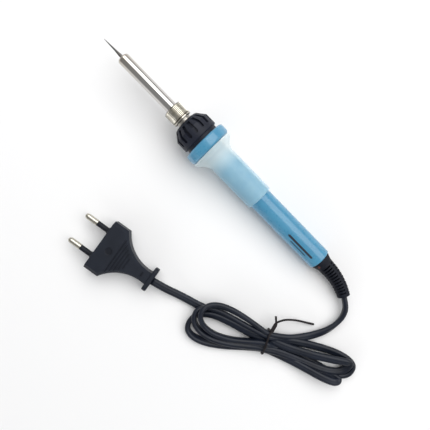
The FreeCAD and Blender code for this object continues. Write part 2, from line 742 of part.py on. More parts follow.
def pin_solid(side):
    """One pin: rounded point, bare shank, thinner root inside the sleeve and the body."""
    y = side * PIN_SPACING / 2
    pin = Part.Face(profile([
        (-PIN_LENGTH, 0), (-PIN_LENGTH + 1.2, 1.75, -PIN_LENGTH + 0.3, 1.15), (-PIN_LENGTH + 2.0, PIN_R),
        (-PIN_BARE, PIN_R), (-PIN_BARE, 1.4), (6.0, 1.4), (6.0, 0),
    ])).revolve(V(), X_AXIS, 360)
    pin.translate(V(0, y, 0))
    return pin


def sleeve_solid(side):
    """Insulating sleeve on a pin's root, with a flared foot against the plug's nose."""
    y = side * PIN_SPACING / 2
    sleeve = Part.Face(profile([
        (-PIN_BARE + 0.05, 1.42), (-PIN_BARE + 0.05, 1.8), (-3.2, 1.8), (-0.6, 3.0, -1.4, 2.1), (4.0, 3.0),
        (4.0, 1.42),
    ])).revolve(V(), X_AXIS, 360)
    sleeve.translate(V(0, y, 0))
    return sleeve


def core_solid(side):
    """One conductor inside the plug, from the cord's end to a pin's root."""
    y = side * PIN_SPACING / 2
    return tube_along([
        V(6.1, y, 0), V(11.0, y, 0), V(20.0, y * 0.38, 0), V(28.0, side * 1.3, 0), V(37.0, side * 1.15, 0),
    ], 0.9)


def plug_inserts():
    return [make(side) for side in (-1, 1) for make in (pin_solid, sleeve_solid, core_solid)]


# ---- all of it ------------------------------------------------------------------------------------
def main():
    os.makedirs("parts", exist_ok=True)
    iron = {
        "soldering_tip": soldering_tip, "barrel_tube": barrel_tube, "barrel_nut": barrel_nut,
        "nose_bush": nose_bush, "nose_washer": nose_washer, "locking_cap": locking_cap,
        "handle_shell": handle_shell, "grip_sleeve": grip_sleeve, "heater_rod": heater_rod,
        "heater_holder": heater_holder, "heater_leads": heater_leads, "control_board": control_board,
        "board_triac": board_triac, "board_capacitor": board_capacitor, "board_resistors": board_resistors,
        "mains_crimps": mains_crimps, "cord_cores": cord_cores, "cord_clamp": cord_clamp,
        "strain_relief": strain_relief, "indicator_lens": indicator_lens, "indicator_led": indicator_led,
        "cord_entry": cord_entry,
    }
    for name, make in iron.items():
        write(name, lay_down(make()))
    write("cord_lead", tube_along([V(*p) for p in CORD_LEAD_POINTS], CORD_TUBE_R, "lead"))
    write("cord_tail", tube_along([V(*p) for p in CORD_TAIL_POINTS], CORD_TUBE_R, "tail"))
    write("cord_hank", cord_hank())
    write("twist_tie", twist_tie())
    write("plug_body", plug_body())
    for side, word in ((1, "upper"), (-1, "lower")):
        write("plug_pin_" + word, plug_place(pin_solid(side)))
        write("pin_sleeve_" + word, plug_place(sleeve_solid(side)))
    write("plug_cores", plug_place(Part.makeCompound([core_solid(-1), core_solid(1)])))
    print("tilt", round(TILT, 3), "degrees, tip height", round(TIP_Z, 3))


main()
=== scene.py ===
"""Looks of a soldering iron with its tied cord and flat plug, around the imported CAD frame. Metres, +Z up."""
import json
import math
import bmesh
import bpy
from mathutils import Matrix, Vector


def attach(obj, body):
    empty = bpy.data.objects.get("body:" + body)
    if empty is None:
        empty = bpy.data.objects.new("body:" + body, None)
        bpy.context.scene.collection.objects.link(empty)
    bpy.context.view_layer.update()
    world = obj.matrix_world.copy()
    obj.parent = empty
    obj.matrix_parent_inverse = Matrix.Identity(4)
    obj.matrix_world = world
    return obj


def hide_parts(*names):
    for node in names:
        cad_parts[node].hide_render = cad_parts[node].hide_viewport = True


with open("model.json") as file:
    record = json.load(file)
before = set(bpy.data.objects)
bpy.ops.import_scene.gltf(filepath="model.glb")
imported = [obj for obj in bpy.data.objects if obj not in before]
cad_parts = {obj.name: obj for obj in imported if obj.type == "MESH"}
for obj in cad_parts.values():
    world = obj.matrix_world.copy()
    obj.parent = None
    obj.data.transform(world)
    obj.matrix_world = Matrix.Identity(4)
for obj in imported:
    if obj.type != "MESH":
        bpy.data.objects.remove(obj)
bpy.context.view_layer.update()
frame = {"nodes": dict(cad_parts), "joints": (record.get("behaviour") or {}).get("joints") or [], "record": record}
NODES = frame["nodes"]
MM = 0.001
UP = Vector((0, 0, 1))

# ---- the iron's axis, from the cap's joint ---------------------------------------------------------
CAP_JOINT = next(joint for joint in frame["joints"] if joint["name"] == "cap_turn")
CAP_JOINT_S = 78.0 * MM                          # the joint's distance from the point of the tip
AXIS = -Vector(CAP_JOINT["axis"])                # from the tip towards the cord
ASIDE = Vector((0, 1, 0))
ABOVE = AXIS.cross(ASIDE)
TIP_POINT = Vector(CAP_JOINT["pos_m"]) - AXIS * CAP_JOINT_S
TILT = math.atan2(-AXIS.z, AXIS.x)

# ---- places along the iron, from the point of the tip, and radii --------------------------------------
CONE_END = 18 * MM
HEAT_TINT = (15 * MM, 62 * MM)                   # fades from the barrel's hot front
SLEEVE_TINT = (100 * MM, 111 * MM)               # where it turns from white to the tint of the tube in it
SLEEVE_RING_PITCH = 0.9 * MM
SLEEVE_GAP = 0.05 * MM                           # keeps the sleeve's bore and the tube from being one surface
NUT_GROOVE_R = 6.2 * MM
NUT_CREST_R = 6.55 * MM
TUBE_R = 7.6 * MM                                # of the handle

# ---- the plain recess on the plug ----------------------------------------------------------------------
PLUG_RECESS = Vector((-17.4, -91.8, 0)) * MM     # its middle, seen from above
PLUG_RECESS_R = (1.9 * MM, 2.6 * MM)             # of its bottom and of its rim
PLUG_RECESS_DEPTH = 0.5 * MM

# ---- the plain bars on the handle: start and end along the iron, angle round it, half width ------------
PRINT_BARS = (
    (166 * MM, 188 * MM, math.radians(118), 0.75 * MM),
    (170 * MM, 184 * MM, math.radians(135), 0.32 * MM),
)
PRINT_LIFT = 0.03 * MM
PRINT_END = 0.001 * MM                           # half width of a bar's very end, which is nearly a point
PRINT_COLUMNS = 24
PRINT_ROWS = 6

# ---- the cord ------------------------------------------------------------------------------------------
CORD_WIDTH = 5.2 * MM
CORD_THICK = 3.3 * MM
CORD_EDGE_STEPS = 8
# the faint crease along each flat: place across, from 1 at an edge's centre to -1, and depth
CREASE = ((0.55, 0.0), (0.25, 0.03 * MM), (0.0, 0.07 * MM), (-0.25, 0.03 * MM), (-0.55, 0.0))

# The cord's route, mm, with its roll in degrees, where 0 lies flat. The lead and the tail are the CAD's,
# moved by under 1 mm. The rest is only here, because the CAD's hank is one plain solid.
LEAD = (
    (110.0, -5.5, 5.33, 90), (115.6, -8.6, 4.85, 90), (119.1, -14.0, 3.9, 90), (120.1, -20.7, 3.2, 75),
    (118.8, -28.7, 2.9, 45), (115.1, -36.9, 2.3, 15), (110.0, -44.4, 2.9, 5), (103.6, -51.1, 4.6, 20),
)
TAIL = (
    (49.0, -76.9, 2.0, 0), (40.6, -79.4, 1.9, 0), (32.2, -82.0, 2.9, 0), (23.4, -84.8, 5.4, 0),
    (15.3, -86.6, 6.85, 0),
)
TAIL_UNDER_HANK = ((-12, 1.4, 2.05, 0), (-24, 4.8, 1.9, 0), (-36, 8.3, 1.9, 0))

# The hank: places along it count from the tie towards its right loops, and across it towards the iron.
HANK_TIE = Vector((95.6, -61.35, 0)) * MM
HANK_ANGLE = math.radians(30)
STEPS_PER_LOOP = 12
# where the cord goes through the tie: across, height, roll
CROSSINGS = (
    (5.2, 6.8, 90), (-1.4, 6.6, 90), (2.4, 6.0, 60), (-5.3, 5.8, 0), (2.0, 3.2, 0), (-5.6, 2.75, 0),
    (-0.9, 2.75, 0),
)
# Each loop, from one crossing to the next: how far it reaches (left loops are negative), the bulge and
# sharpness of its way out and of its way back, the drift of its end and how late that starts, heights and
# rolls a sixth of the way round apart, and how far its fold opens across and upwards. Reach, out, back and
# drift came from a least-squares fit to places along each strand, and three of those values were then
# changed. Heights, rolls and folds were set one by one.
LOOPS = (
    dict(reach=-47.1, out=(13.9, 1.3), back=(11.6, 1.7), drift=(4.6, 2.5),
         heights=(6.8, 9.0, 10.4, 5.0, 5.2), rolls=(75, 50, 90, 85, 80), fold=(0, 0)),
    dict(reach=59.95, out=(-15.0, 4.8), back=(-7.3, 0.8), drift=(-2.9, 0.5),
         heights=(1.95, 2.0, 2.85, 3.6, 3.8), rolls=(0, 20, 90, 20, 5), fold=(-1.0, 0)),
    dict(reach=-50.9, out=(11.7, 2.9), back=(13.6, 1.2), drift=(5.7, 0.5),
         heights=(5.4, 5.2, 6.8, 4.4, 4.8), rolls=(80, 85, 90, 40, 15), fold=(0, 0)),
    dict(reach=56.6, out=(-11.2, 2.9), back=(1.9, 0.3), drift=(1.7, 1.3),
         heights=(4.6, 2.8, 5.0, 7.4, 5.6), rolls=(0, 5, 30, 5, 0), fold=(-3.6, -2.2)),
    dict(reach=-53.3, out=(16.3, 2.4), back=(11.0, 1.9), drift=(-2.3, 0.5),
         heights=(4.4, 5.0, 3.1, 2.1, 1.95), rolls=(10, 40, 90, 30, 0), fold=(0, 0)),
    dict(reach=52.1, out=(-2.6, 5.4), back=(0.6, 1.6), drift=(-9.1, 0.9),
         heights=(2.8, 6.6, 5.0, 3.3, 1.95), rolls=(0, 0, 0, 0, 0), fold=(-1.6, 4.8)),
)

# ---- the wire tie --------------------------------------------------------------------------------------
TIE_R = 0.68 * MM
TIE_SIDES = 10
TWIST_TURNS = 2.5
TWIST_STEPS = 14
TWIST_SPACING = 1.1                              # radius of the twist, in radii of the wire
TWIST_FROM = Vector((92.2, -53.6, 8.6)) * MM
TWIST_TO = Vector((91.4, -49.6, 7.2)) * MM
# across and height round the hank's waist, mm
TIE_RING = (
    (6.8, 8.6), (7.7, 5.0), (7.4, 1.2), (4.0, 0.8), (-2.0, 0.75), (-7.6, 0.8), (-9.0, 2.8), (-8.6, 6.4),
    (-6.4, 8.0), (-2.4, 9.8), (2.4, 10.1), (5.6, 10.2),
)
# where the ring lies along the hank, mm, at its two ends and at its middle
TIE_RING_ENDS = -0.4
TIE_RING_MIDDLE = -1.2
TIE_LONG_END = (
    (91.9, -46.0, 6.9), (94.6, -42.2, 5.9), (100.4, -37.7, 4.2), (105.8, -34.9, 2.5), (110.4, -32.1, 1.2),
)
TIE_SHORT_END = ((90.0, -47.9, 7.3), (87.6, -45.8, 7.7))

# ---- the stage, metres and watts -----------------------------------------------------------------------
FLOOR_HALF = 6.0
FLOOR_Z = -0.0001                                # just under what lies on it
FLOOR_GREY = (0.86, 0.86, 0.865)
SKY = ((0.10, 0.80), (0.30, 0.32))               # height of the view, and its grey: paler near the horizon
SKY_TINT = (0.985, 0.99, 1.0)
SOFTBOX = dict(place=(0, 0.93, 1.2), aim=(0, 0.93, 0), size=(3.0, 1.82), power=40.5,
               colour=(1.0, 0.995, 0.985))
FILL = dict(place=(0, -1.3, 0.40), aim=(0, 0, 0), size=(2.6, 0.6), power=8.0, colour=(0.97, 0.99, 1.0))
CAMERA_PLACE = (0.0135, -0.02775, 0.320)
CAMERA_TURN = math.radians(45.32)
SENSOR_WIDTH_MM = 36
FOCAL_LENGTH_MM = 40.52
NEAREST_SEEN = 0.01


# ==== materials =======================================================================================
def srgb(red, green, blue):
    """A colour given as it looks on a screen, 0 to 255, as the linear colour that shaders take."""
    shares = (red / 255, green / 255, blue / 255)
    return tuple(((c + 0.055) / 1.055) ** 2.4 if c > 0.04 else c / 12.92 for c in shares)


class Shader:
    """A node tree with short calls for the textures that the materials share."""

    def __init__(self, name, **sockets):
        self.material = bpy.data.materials.new(name)
        self.material.use_nodes = True
        self.nodes = self.material.node_tree.nodes
        self.links = self.material.node_tree.links
        self.surface = self.nodes["Principled BSDF"]
        self.coordinates = self.nodes.new("ShaderNodeTexCoord").outputs["Object"]
        self.set(**sockets)

    def set(self, **sockets):
        """Values of the surface's own sockets, with _ for each space in their names."""
        for name, value in sockets.items():
            socket = self.surface.inputs[name.replace("_", " ")]
            socket.default_value = (*value, 1.0) if socket.type == "RGBA" else value

    def link(self, value, socket):
        """Link an output to a socket, or to the surface's socket of that name."""
        if isinstance(socket, str):
            socket = self.surface.inputs[socket]
        self.links.new(value, socket)

    def on_iron(self):
        """Coordinates in the iron's own frame: distance from the tip's point, sideways, upwards."""
        mapping = self.nodes.new("ShaderNodeMapping")
        mapping.inputs["Rotation"].default_value = (0, -TILT, 0)
        turned = Matrix.Rotation(-TILT, 3, "Y") @ TIP_POINT
        mapping.inputs["Location"].default_value = -turned
        self.link(self.coordinates, mapping.inputs["Vector"])
        return mapping.outputs["Vector"]

    def stretched(self, vector, scale):
        """The vector scaled on each axis: a texture is drawn out along an axis with a small scale."""
        mapping = self.nodes.new("ShaderNodeMapping")
        mapping.inputs["Scale"].default_value = scale
        self.link(vector, mapping.inputs["Vector"])
        return mapping.outputs["Vector"]

    def noise(self, size, vector=None, detail=3.0, rough=0.5, distortion=0.0):
        """Noise whose features are about size metres across."""
        node = self.nodes.new("ShaderNodeTexNoise")
        node.inputs["Scale"].default_value = 1.0 / size
        node.inputs["Detail"].default_value = detail
        node.inputs["Roughness"].default_value = rough
        node.inputs["Distortion"].default_value = distortion
        self.link(vector or self.coordinates, node.inputs["Vector"])
        return node.outputs["Fac"]

    def ramp(self, value, *stops):
        """A colour for each place on the way from 0 to 1; a bare number is a grey."""
        node = self.nodes.new("ShaderNodeValToRGB")
        band = node.color_ramp
        while len(band.elements) < len(stops):
            band.elements.new(0.5)
        for element, (place, colour) in zip(band.elements, stops):
            element.position = place
            element.color = (colour, colour, colour, 1) if isinstance(colour, float) else (*colour, 1)
        self.link(value, node.inputs["Fac"])
        return node.outputs["Color"]

    def along(self):
        """Distance along the iron from the point of the tip."""
        split = self.nodes.new("ShaderNodeSeparateXYZ")
        self.link(self.on_iron(), split.inputs["Vector"])
        return split.outputs["X"]

    def radius(self):
        """Distance from the iron's axis."""
        node = self.nodes.new("ShaderNodeVectorMath")
        node.operation = "LENGTH"
        self.link(self.stretched(self.on_iron(), (0, 1, 1)), node.inputs[0])
        return node.outputs["Value"]

    def plan_distance(self, place):
        """Distance from an upright line through a place on the floor."""
        node = self.nodes.new("ShaderNodeVectorMath")
        node.operation = "DISTANCE"
        self.link(self.stretched(self.coordinates, (1, 1, 0)), node.inputs[0])
        node.inputs[1].default_value = place
        return node.outputs["Value"]

    def span(self, value, low, high):
        """0 at low and 1 at high."""
        node = self.nodes.new("ShaderNodeMapRange")
        node.inputs["From Min"].default_value = low
        node.inputs["From Max"].default_value = high
        self.link(value, node.inputs["Value"])
        return node.outputs["Result"]

    def rings(self, pitch):
        """A wave along the iron's axis, from -1 to 1."""
        phase = self.math("MULTIPLY", self.along(), 2 * math.pi / pitch)
        return self.math("SINE", phase, 0)

    def math(self, operation, first, second):
        """A sum, product or the like of two values, each a number or an output."""
        node = self.nodes.new("ShaderNodeMath")
        node.operation = operation
        for socket, value in zip(node.inputs, (first, second)):
            if isinstance(value, (int, float)):
                socket.default_value = value
            else:
                self.link(value, socket)
        return node.outputs["Value"]

    def mix(self, amount, first, second):
        """The first colour where amount is 0 and the second where it is 1."""
        node = self.nodes.new("ShaderNodeMix")
        node.data_type = "RGBA"
        sockets = {socket.identifier: socket for socket in node.inputs}
        for name, value in (("Factor_Float", amount), ("A_Color", first), ("B_Color", second)):
            if isinstance(value, tuple):
                sockets[name].default_value = (*value, 1)
            else:
                self.link(value, sockets[name])
        return next(output for output in node.outputs if output.identifier == "Result_Color")

    def bump(self, height, depth, strength=1.0, below=None):
        """Relief of depth metres; below is another bump that this one lies on."""
        node = self.nodes.new("ShaderNodeBump")
        node.inputs["Strength"].default_value = strength
        node.inputs["Distance"].default_value = depth
        self.link(height, node.inputs["Height"])
        if below:
            self.link(below, node.inputs["Normal"])
        self.link(node.outputs["Normal"], "Normal")
        return node.outputs["Normal"]


def spread(colour, amount):
    """The colour, a little darker and a little lighter."""
    return tuple(c * (1 - amount) for c in colour), tuple(min(c * (1 + amount), 1) for c in colour)


def moulded(name, colour, roughness, mottle=0.10, grain=0.25 * MM, grain_depth=0.01 * MM, **sockets):
    """Moulded plastic or rubber: slightly uneven colour, hazy patches and a fine grain."""
    shader = Shader(name, **sockets)
    dark, light = spread(colour, mottle)
    shader.link(shader.ramp(shader.noise(9 * MM, detail=4), (0.35, dark), (0.65, light)), "Base Color")
    haze = shader.noise(5 * MM, detail=5, rough=0.6)
    smooth = max(roughness - 0.07, 0.05)
    rough = min(roughness + 0.08, 1.0)
    shader.link(shader.ramp(haze, (0.3, smooth), (0.7, rough)), "Roughness")
    relief = shader.bump(shader.noise(grain, detail=2), grain_depth)
    shader.bump(shader.noise(3 * MM, detail=2), 0.02 * MM, 0.5, below=relief)
    return shader


def metal(name, colour, roughness, streaks=(0.04, 1.0, 1.0), depth=0.0006 * MM, tint=0.06, **sockets):
    """Bare metal with fine lines, drawn out along each axis of the iron on which streaks is small."""
    shader = Shader(name, Metallic=1.0, **sockets)
    lines = shader.noise(0.18 * MM, shader.stretched(shader.on_iron(), streaks), detail=4, rough=0.65)
    dark, light = spread(colour, tint)
    shader.link(shader.ramp(lines, (0.3, dark), (0.7, light)), "Base Color")
    shader.link(shader.ramp(lines, (0.25, roughness * 0.85), (0.75, roughness * 1.2)), "Roughness")
    shader.bump(lines, depth)
    return shader


def tip_metal():
    """Plated cone: dull grey, with a brighter tinned point and bare plating at its root."""
    shader = metal("tip_plating", (0.42, 0.42, 0.40), 0.30, streaks=(1.0, 0.5, 0.5))
    along = shader.span(shader.along(), 0, CONE_END)
    patches = shader.noise(1.6 * MM, detail=4, rough=0.7)
    worn = shader.math("ADD", along, shader.math("MULTIPLY", patches, 0.10))
    colour = shader.ramp(worn, (0.05, (0.22, 0.22, 0.22)), (0.30, (0.13, 0.13, 0.13)),
                         (0.55, (0.11, 0.11, 0.11)), (0.85, (0.16, 0.15, 0.14)), (0.95, (0.36, 0.34, 0.32)))
    shader.link(colour, "Base Color")
    shader.link(shader.ramp(worn, (0.05, 0.16), (0.35, 0.30), (0.85, 0.34)), "Roughness")
    return shader


def barrel_metal():
    """Polished steel tube with faint drawn lines, and a straw heat tint at its hot front."""
    shader = metal("barrel_steel", (0.72, 0.70, 0.67), 0.11, streaks=(0.02, 1.0, 1.0))
    along = shader.span(shader.along(), *HEAT_TINT)
    clouds = shader.noise(6 * MM, detail=3)
    heat = shader.math("ADD", along, shader.math("MULTIPLY", clouds, 0.16))
    lines = shader.noise(0.2 * MM, shader.stretched(shader.on_iron(), (0.02, 1, 1)), detail=4)
    tone = shader.ramp(heat, (0.08, (0.56, 0.51, 0.45)), (0.30, (0.60, 0.57, 0.53)),
                       (0.55, (0.64, 0.62, 0.60)))
    drawn = shader.ramp(lines, (0.35, 0.0), (0.75, 0.35))
    shader.link(shader.mix(drawn, tone, (0.45, 0.43, 0.41)), "Base Color")
    return shader


def nut_metal():
    """Nickel-plated brass, warm, with painted shade: darker in the grooves between the teeth, so the crests look
    brighter.
    """
    shader = metal("nut_nickel", (0.74, 0.69, 0.58), 0.24, streaks=(1.0, 0.3, 0.3), tint=0.05)
    patches = shader.noise(2.5 * MM, detail=5, rough=0.6)
    plating = shader.ramp(patches, (0.3, (0.62, 0.59, 0.51)), (0.7, (0.80, 0.78, 0.70)))
    crest = shader.span(shader.radius(), NUT_GROOVE_R, NUT_CREST_R)
    # painted shade: a dark colour down in the grooves between the teeth, the plating's colour on the crests
    shader.link(shader.mix(crest, (0.17, 0.15, 0.12), plating), "Base Color")
    return shader


def sleeve_rubber():
    """Milky, half clear silicone: white at the flare, and tinted where the tube shows through it."""
    shader = Shader("sleeve_silicone", Alpha=0.40, Specular_IOR_Level=0.35)
    clouds = shader.noise(7 * MM, detail=4)
    thin = shader.ramp(clouds, (0.3, srgb(160, 206, 228)), (0.7, srgb(176, 218, 234)))
    tube = shader.span(shader.along(), *SLEEVE_TINT)
    shader.link(shader.mix(tube, srgb(238, 252, 254), thin), "Base Color")
    shader.link(shader.ramp(shader.noise(4 * MM, detail=5), (0.3, 0.34), (0.7, 0.46)), "Roughness")
    rings = shader.bump(shader.rings(SLEEVE_RING_PITCH), 0.02 * MM)
    wrinkles = shader.noise(2.2 * MM, shader.stretched(shader.on_iron(), (1.0, 0.35, 0.35)), detail=3)
    shader.bump(wrinkles, 0.03 * MM, 0.5, below=rings)
    return shader


def handle_plastic():
    """Glossy sky-blue moulding with faint flow marks along it."""
    shader = Shader("handle_plastic", Coat_Weight=0.5, Coat_Roughness=0.1, Subsurface_Weight=0.08,
                    Subsurface_Radius=(1 * MM, 1.6 * MM, 2.2 * MM), Subsurface_Scale=1.0)
    flow = shader.noise(6 * MM, shader.stretched(shader.on_iron(), (0.25, 1, 1)), detail=4)
    shader.link(shader.ramp(flow, (0.3, srgb(62, 131, 166)), (0.7, srgb(74, 142, 175))), "Base Color")
    shader.link(shader.ramp(shader.noise(3 * MM, detail=5), (0.3, 0.24), (0.7, 0.36)), "Roughness")
    relief = shader.bump(shader.noise(0.4 * MM, detail=2), 0.004 * MM)
    shader.bump(flow, 0.03 * MM, 0.4, below=relief)
    return shader


def cord_pvc():
    """Satin black PVC with a fine grain, slightly uneven colour and paler scuffs."""
    shader = moulded("cord_jacket", srgb(18, 24, 35), 0.38, mottle=0.12, grain=0.5 * MM,
                     grain_depth=0.012 * MM, Specular_IOR_Level=0.34)
    scuffs = shader.noise(1.2 * MM, detail=6, rough=0.7, distortion=0.6)
    scuffed = shader.ramp(scuffs, (0.58, 0.0), (0.74, 0.35))
    clouds = shader.noise(12 * MM, detail=3)
    jacket = shader.ramp(clouds, (0.35, srgb(14, 20, 31)), (0.65, srgb(22, 28, 41)))
    shader.link(shader.mix(scuffed, jacket, srgb(44, 50, 62)), "Base Color")
    return shader


def plug_rubber():
    """Satin black PVC, with a plain round recess in the plug's flat sides, painted darker inside as shade."""
    shader = moulded("plug_rubber", srgb(29, 33, 42), 0.50, mottle=0.12, grain=0.45 * MM,
                     grain_depth=0.022 * MM, Specular_IOR_Level=0.2)
    moulding = shader.surface.inputs["Normal"].links[0].from_socket
    colour = shader.surface.inputs["Base Color"].links[0].from_socket
    outside = shader.span(shader.plan_distance(PLUG_RECESS), *PLUG_RECESS_R)
    shader.bump(outside, PLUG_RECESS_DEPTH, below=moulding)
    # painted shade: inside the recess the colour is darker than the plug round it, fading out up its slope
    shader.link(shader.mix(outside, srgb(20, 23, 31), colour), "Base Color")
    return shader


def lens_plastic():
    """Dark red, partly clear plastic."""
    shader = Shader("lens_red", Transmission_Weight=0.3, IOR=1.45)
    colour = shader.ramp(shader.noise(0.6 * MM), (0.3, (0.07, 0.012, 0.008)), (0.7, (0.12, 0.022, 0.014)))
    shader.link(colour, "Base Color")
    shader.link(shader.ramp(shader.noise(0.4 * MM), (0.3, 0.12), (0.7, 0.25)), "Roughness")
    return shader


def materials():
    """One material for each slot of the record."""
    made = {
        "tip_plating": tip_metal(),
        "barrel_steel": barrel_metal(),
        "nut_nickel": nut_metal(),
        "bush_steel": metal("bush_steel", (0.58, 0.56, 0.52), 0.32, streaks=(1.0, 0.3, 0.3)),
        "washer_mica": moulded("washer_mica", (0.55, 0.48, 0.36), 0.5, mottle=0.2),
        "cap_plastic": moulded("cap_plastic", srgb(29, 32, 43), 0.46, mottle=0.14, grain=0.35 * MM,
                               grain_depth=0.02 * MM, Specular_IOR_Level=0.22),
        "handle_plastic": handle_plastic(),
        "sleeve_silicone": sleeve_rubber(),
        "heater_ceramic": moulded("heater_ceramic", (0.80, 0.79, 0.75), 0.7),
        "lead_insulation": moulded("lead_insulation", (0.75, 0.73, 0.66), 0.85, grain=0.4 * MM,
                                   grain_depth=0.06 * MM),
        "board_laminate": moulded("board_laminate", (0.06, 0.22, 0.09), 0.4),
        "chip_plastic": moulded("chip_plastic", (0.02, 0.02, 0.022), 0.5),
        "capacitor_plastic": moulded("capacitor_plastic", (0.55, 0.35, 0.06), 0.35),
        "resistor_lacquer": moulded("resistor_lacquer", (0.50, 0.42, 0.28), 0.4),
        "crimp_metal": metal("crimp_metal", (0.70, 0.69, 0.66), 0.3),
        "core_insulation": moulded("core_insulation", (0.10, 0.16, 0.40), 0.45),
        "clamp_plastic": moulded("clamp_plastic", (0.65, 0.64, 0.60), 0.5),
        "boot_rubber": moulded("boot_rubber", srgb(20, 23, 32), 0.55, mottle=0.12, grain=0.4 * MM,
                               grain_depth=0.015 * MM, Specular_IOR_Level=0.18),
        "lens_red": lens_plastic(),
        "led_body": moulded("led_body", (0.55, 0.03, 0.03), 0.2),
        "cord_jacket": cord_pvc(),
        "tie_plastic": moulded("tie_plastic", srgb(30, 26, 28), 0.5, grain=0.2 * MM,
                               Specular_IOR_Level=0.2),
        "plug_rubber": plug_rubber(),
        "pin_nickel": metal("pin_nickel", (0.56, 0.54, 0.47), 0.2, streaks=(1, 1, 1), depth=0.0002 * MM),
        "sleeve_black": moulded("sleeve_black", srgb(24, 27, 34), 0.45, Specular_IOR_Level=0.2),
        "copper": metal("copper", (0.80, 0.38, 0.22), 0.35),
    }
    return {slot: shader.material for slot, shader in made.items()}


def dress_nodes(looks):
    """Each CAD node takes the material of its slot in the record, and the sleeve gets a hair's gap."""
    slot_of = {part["node"]: part["material_slot"] for part in frame["record"]["subparts"]}
    for name, node in NODES.items():
        look = looks[slot_of[name]]
        if not node.material_slots:
            node.data.materials.append(look)
        for slot in node.material_slots:
            slot.material = look
    gap = NODES["grip_sleeve"].modifiers.new("gap", "DISPLACE")
    gap.strength = -SLEEVE_GAP
    gap.mid_level = 0


# ==== meshes ==========================================================================================
def nurbs(points, resolution=12):
    """Points read from the NURBS spline that has these control points."""
    curve = bpy.data.curves.new("route", "CURVE")
    curve.dimensions = "3D"
    curve.resolution_u = resolution
    spline = curve.splines.new("NURBS")
    spline.points.add(len(points) - 1)
    for knot, point in zip(spline.points, points):
        knot.co = (*point, 1.0)
    spline.order_u = 3
    spline.use_endpoint_u = True
    holder = bpy.data.objects.new("route", curve)
    mesh = bpy.data.meshes.new_from_object(holder)
    line = [vertex.co.copy() for vertex in mesh.vertices]
    bpy.data.objects.remove(holder)
    bpy.data.curves.remove(curve)
    bpy.data.meshes.remove(mesh)
    return line


def ways_along(path):
    """The direction of travel at each point of a path."""
    ends = len(path) - 1
    return [(path[min(i + 1, ends)] - path[max(i - 1, 0)]).normalized() for i in range(len(path))]


def new_object(name, build, look, body):
    """A smooth object from a bmesh, with its material and the body that it rides on."""
    mesh = bpy.data.meshes.new(name)
    bmesh.ops.recalc_face_normals(build, faces=build.faces)
    build.to_mesh(mesh)
    build.free()
    for face in mesh.polygons:
        face.use_smooth = True
    piece = bpy.data.objects.new(name, mesh)
    bpy.context.scene.collection.objects.link(piece)
    piece.data.materials.append(look)
    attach(piece, body)
    return piece


def steady_sides(path):
    """A direction square to the path at each of its points, which doesn't turn round the path."""
    ways = ways_along(path)
    side = ways[0].cross(UP).normalized()
    sides = []
    for way in ways:
        side = (side - way * side.dot(way)).normalized()
        sides.append(side)
    return sides


def sweep(build, path, section, across):
    """A closed tube: the section's (u, v) points carried along a path, u along across[i] there."""
    rings = []
    for here, way, side in zip(path, ways_along(path), across):
        side = (side - way * side.dot(way)).normalized()
        third = way.cross(side)
        rings.append([build.verts.new(here + side * u + third * v) for u, v in section])
    count = len(section)
    for first, second in zip(rings, rings[1:]):
        for i in range(count):
            build.faces.new((first[i], first[(i + 1) % count], second[(i + 1) % count], second[i]))
    build.faces.new(rings[0])
    build.faces.new(rings[-1])


def flat_section(width, thick):
    """A flat twin cord's outline: two round edges and a faint crease along the middle of each flat."""
    radius = thick / 2
    centre = width / 2 - radius
    angles = [math.radians(-90 + 180 * k / CORD_EDGE_STEPS) for k in range(CORD_EDGE_STEPS + 1)]
    edge = [(centre + radius * math.cos(a), radius * math.sin(a)) for a in angles]
    flat = [(centre * share, radius - depth) for share, depth in CREASE]
    half = edge + flat
    return half + [(-u, -v) for u, v in half]


def circle_section(radius, count):
    """A round wire's outline."""
    angles = [2 * math.pi * k / count for k in range(count)]
    return [(radius * math.cos(a), radius * math.sin(a)) for a in angles]


# ==== the cord =========================================================================================
def on_hank(along, across, height):
    """A place given in the hank's own frame, in mm."""
    ahead = Vector((math.cos(HANK_ANGLE), math.sin(HANK_ANGLE), 0))
    aside = Vector((-ahead.y, ahead.x, 0))
    return HANK_TIE + (ahead * along + aside * across + UP * height) * MM


def between(values, share):
    """A smooth run through values at even steps."""
    place = share * (len(values) - 1)
    step = min(int(place), len(values) - 2)
    part = place - step
    part = part * part * (3 - 2 * part)
    return values[step] * (1 - part) + values[step + 1] * part


def loop_points(loop, start, end):
    """Control points and rolls of one loop, from one crossing of the tie up to the next."""
    drift, lateness = loop["drift"]
    found = []
    for k in range(STEPS_PER_LOOP):
        share = k / STEPS_PER_LOOP
        angle = 2 * math.pi * share
        bulge, sharpness = loop["out"] if share < 0.5 else loop["back"]
        reached = math.sin(angle / 2) ** 2
        across = start[0] + (end[0] - start[0]) * share
        across += bulge * math.sin(angle) * math.sin(angle / 2) ** sharpness + drift * reached ** lateness
        near_fold = math.sin(angle) * reached ** 4
        across += loop["fold"][0] * near_fold
        height = between((start[1], *loop["heights"], end[1]), share) + loop["fold"][1] * near_fold
        roll = between((start[2], *loop["rolls"], end[2]), share)
        found.append((on_hank(loop["reach"] * reached, across, height), roll))
    return found


def cord_route():
    """The whole cord's control points, and its roll at each, from the boot to the plug."""
    route = [(Vector(point[:3]) * MM, point[3]) for point in LEAD]
    for loop, start, end in zip(LOOPS, CROSSINGS, CROSSINGS[1:]):
        route += loop_points(loop, start, end)
    route.append((on_hank(0, *CROSSINGS[-1][:2]), CROSSINGS[-1][2]))
    route += [(on_hank(*point[:3]), point[3]) for point in TAIL_UNDER_HANK]
    route += [(Vector(point[:3]) * MM, point[3]) for point in TAIL]
    return route


